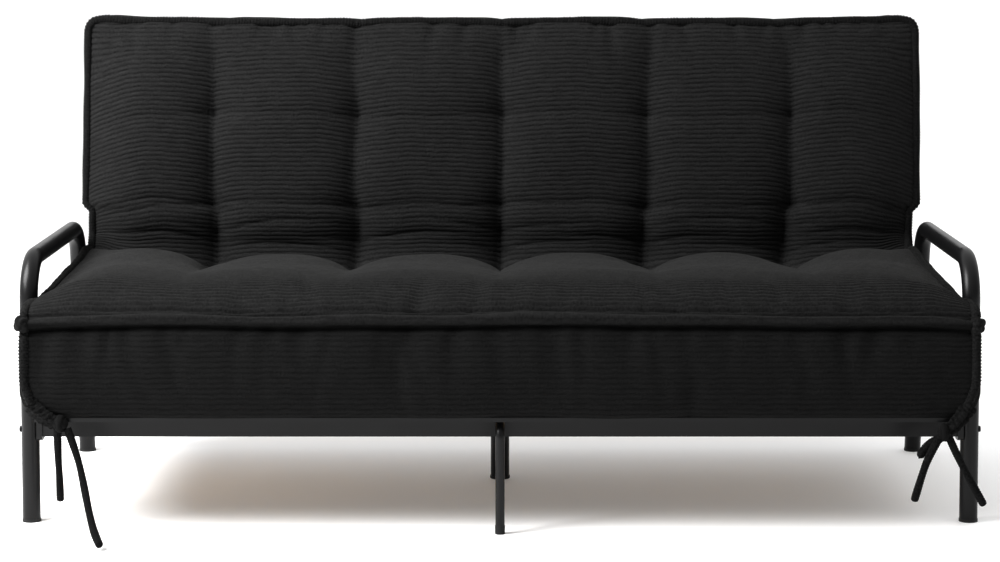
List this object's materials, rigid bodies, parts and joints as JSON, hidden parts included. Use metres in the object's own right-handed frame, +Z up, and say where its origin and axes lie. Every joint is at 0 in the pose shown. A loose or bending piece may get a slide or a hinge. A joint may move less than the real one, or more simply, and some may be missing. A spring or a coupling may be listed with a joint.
{
  "type": "futon sofa bed",
  "caption": "Black tufted futon sofa bed on a bent-tube steel frame; the seat slides forward and the back folds flat.",
  "frame": {"origin": "on the floor, at the middle of the sofa width and depth", "axes": "+X to the sitter's left along the seat length, +Y to the back, +Z up"},
  "size_m": [2.006, 1.1844, 1.0242],
  "materials": {
    "frame_steel": "satin",
    "fastener_steel": "satin",
    "black_plastic": "satin",
    "nylon": "satin",
    "rubber_tip": "matte",
    "slat_wood": "satin",
    "cover_fabric": "matte",
    "filling": "matte"
  },
  "bodies": {
    "base": {"arm_hoop_left": "frame_steel", "arm_hoop_right": "frame_steel", "front_foot_caps": "black_plastic", "rear_foot_caps": "black_plastic", "front_rail": "frame_steel", "rear_rail": "frame_steel", "front_rail_brackets": "frame_steel", "rear_rail_brackets": "frame_steel", "front_nut_plates": "fastener_steel", "rear_nut_plates": "fastener_steel", "frame_bolts": "fastener_steel", "left_side_rail": "frame_steel", "right_side_rail": "frame_steel", "centre_rail": "frame_steel", "slide_glides": "nylon", "centre_leg": "frame_steel", "centre_leg_flange": "frame_steel", "centre_leg_screws": "fastener_steel", "centre_leg_cap": "black_plastic"},
    "seat_deck": {"clamp_ears": "frame_steel", "clamp_screws": "fastener_steel", "mattress_cover_seat": "cover_fabric", "mattress_filling_seat": "filling", "seat_centre_tube": "frame_steel", "seat_front_tube": "frame_steel", "seat_hinge_leaves": "frame_steel", "seat_rear_tube": "frame_steel", "seat_side_tubes": "frame_steel", "seat_slat_holders": "black_plastic", "seat_slats": "slat_wood", "seat_tube_plugs": "black_plastic", "slide_hooks": "frame_steel", "support_leg": "frame_steel", "support_leg_cap": "rubber_tip", "support_leg_clamp": "frame_steel", "tie_knot_left": "cover_fabric", "tie_knot_right": "cover_fabric", "tie_tail_left_long": "cover_fabric", "tie_tail_left_short": "cover_fabric", "tie_tail_right_inner": "cover_fabric", "tie_tail_right_outer": "cover_fabric"},
    "back_deck": {"back_bottom_tube": "frame_steel", "back_centre_tube": "frame_steel", "back_hinge_leaves": "frame_steel", "back_side_tubes": "frame_steel", "back_slat_holders": "black_plastic", "back_slats": "slat_wood", "back_top_tube": "frame_steel", "back_tube_plugs": "black_plastic", "mattress_cover_back": "cover_fabric", "mattress_filling_back": "filling", "hinge_pins": "fastener_steel", "hinge_spacers": "fastener_steel", "hinge_lock_nuts": "fastener_steel"}
  },
  "joints": [
    {"name": "seat_slide", "type": "slide", "parent": "base", "child": "seat_deck", "axis": [0, -1, 0], "range_m": [0, 0.3]},
    {"name": "back_fold", "type": "hinge", "parent": "seat_deck", "child": "back_deck", "pos_m": [0, 0.42573, 0.2475], "axis": [-1, 0, 0], "range_deg": [0, 82.3]}
  ]
}
